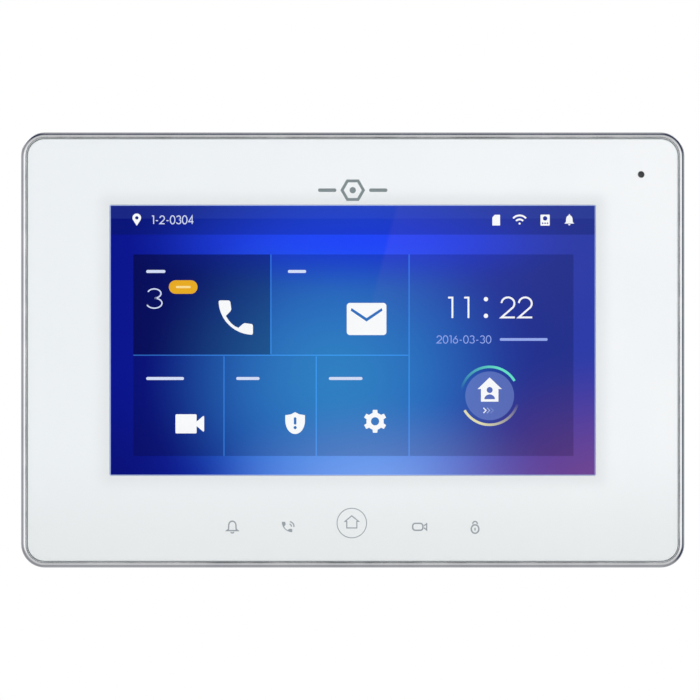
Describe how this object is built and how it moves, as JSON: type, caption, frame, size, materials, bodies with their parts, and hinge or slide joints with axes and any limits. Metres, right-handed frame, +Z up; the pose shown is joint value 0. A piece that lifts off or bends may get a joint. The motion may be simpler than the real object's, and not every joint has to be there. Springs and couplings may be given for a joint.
{
  "type": "video intercom monitor",
  "caption": "Wall-mounted video intercom monitor: white glass front with wide colour touch screen, silver trim ring, white rear shell and steel wall bracket.",
  "frame": {"origin": "centre of the wall bracket's screw pattern, in the plane of the wall", "axes": "+X to the viewer's right along the width, +Z up, +Y into the wall; the glass faces -Y"},
  "size_m": [0.2106, 0.026, 0.138],
  "materials": {
    "zinc_steel": "zinc plated, satin",
    "cover_glass": "polished tempered glass",
    "white_print": "opaque white ink on the back of the glass, with grey key symbols",
    "foam_tape": "foam tape",
    "silver_trim": "satin silver plating",
    "white_abs": "fine matt moulded",
    "white_shell": "fine spark-eroded texture",
    "black_screw": "black oxide",
    "amber_film": "polyimide film",
    "sensor_glass": "clear sensor glass",
    "black_foam": "closed-cell foam",
    "pressed_steel": "rolled sheet",
    "screen": "lit liquid crystal panel",
    "diffuser_film": "frosted film",
    "clear_acrylic": "clear acrylic",
    "white_laminate": "white circuit strip",
    "zinc_screw": "zinc plated",
    "green_laminate": "solder resist",
    "chip_epoxy": "moulded epoxy",
    "grey_silicone": "thermal silicone",
    "black_aluminium": "black anodised",
    "tinned_can": "tinned",
    "black_laminate": "black solder resist",
    "grey_lead": "flexible insulation",
    "black_nylon": "moulded",
    "gold_contact": "gold flash",
    "green_nylon": "moulded",
    "tinned_pin": "tinned",
    "cream_nylon": "moulded",
    "capacitor_can": "bare can",
    "ferrite": "ferrite",
    "cell_steel": "nickel plated",
    "card_black": "plain moulded",
    "grey_button": "moulded",
    "black_rubber": "soft moulded",
    "microphone_can": "bare can with felt face",
    "black_steel": "black coat",
    "magnet_ferrite": "plated yoke",
    "brown_laminate": "paper laminate",
    "cone_paper": "pressed paper",
    "copper_coil": "enamelled copper"
  },
  "bodies": {
    "bracket": {"wall_bracket": "zinc_steel"},
    "monitor": {"cover_glass": "cover_glass", "print_layer": "white_print", "glass_adhesive": "foam_tape", "trim_ring": "silver_trim", "front_frame": "white_abs", "rear_cover": "white_shell", "case_screws": "black_screw", "key_film": "amber_film", "key_ribbon": "amber_film", "touch_panel": "sensor_glass", "touch_ribbon": "amber_film", "display_gasket": "black_foam", "display_bezel": "pressed_steel", "display_cell": "screen", "display_film_stack": "diffuser_film", "display_light_guide": "clear_acrylic", "display_led_bar": "white_laminate", "display_tray": "pressed_steel", "display_ribbon": "amber_film", "chassis_plate": "pressed_steel", "chassis_screws": "zinc_screw", "main_board": "green_laminate", "board_screws": "zinc_screw", "processor_chip": "chip_epoxy", "thermal_pad": "grey_silicone", "heat_sink": "black_aluminium", "memory_chips": "chip_epoxy", "small_chips": "chip_epoxy", "wireless_module": "tinned_can", "antenna": "black_laminate", "antenna_lead": "grey_lead", "network_transformer": "chip_epoxy", "network_jack": "black_nylon", "jack_contacts": "gold_contact", "alarm_header": "green_nylon", "power_header": "green_nylon", "header_pins": "tinned_pin", "board_connectors": "cream_nylon", "capacitors": "capacitor_can", "inductors": "ferrite", "cell_holder": "black_nylon", "coin_cell": "cell_steel", "card_socket": "tinned_can", "reset_switch": "black_nylon", "mic_gasket": "black_foam", "mic_boot": "black_rubber", "microphone": "microphone_can", "mic_leads": "grey_lead", "speaker_basket": "black_steel", "speaker_magnet": "magnet_ferrite", "speaker_terminals": "brown_laminate", "speaker_gasket": "black_foam", "speaker_surround": "black_rubber", "speaker_leads": "grey_lead"},
    "memory_card": {"memory_card": "card_black"},
    "reset_button": {"reset_button": "grey_button", "reset_plunger": "cream_nylon"},
    "speaker_cone": {"speaker_cone": "cone_paper", "voice_coil": "copper_coil"}
  },
  "joints": [
    {"name": "lift_off", "type": "slide", "parent": "bracket", "child": "monitor", "axis": [0, 0, 1], "range_m": [0, 0.006]},
    {"name": "card_slide", "type": "slide", "parent": "monitor", "child": "memory_card", "axis": [-1, 0, 0], "range_m": [-0.0008, 0.012]},
    {"name": "reset_press", "type": "slide", "parent": "monitor", "child": "reset_button", "axis": [1, 0, 0], "range_m": [0, 0.00035], "stiffness_N_per_m": 400, "springref_m": -0.0003},
    {"name": "cone_stroke", "type": "slide", "parent": "monitor", "child": "speaker_cone", "axis": [0, 1, 0], "range_m": [-0.0004, 0.0004], "stiffness_N_per_m": 1500, "deforming": ["speaker_surround"]}
  ]
}
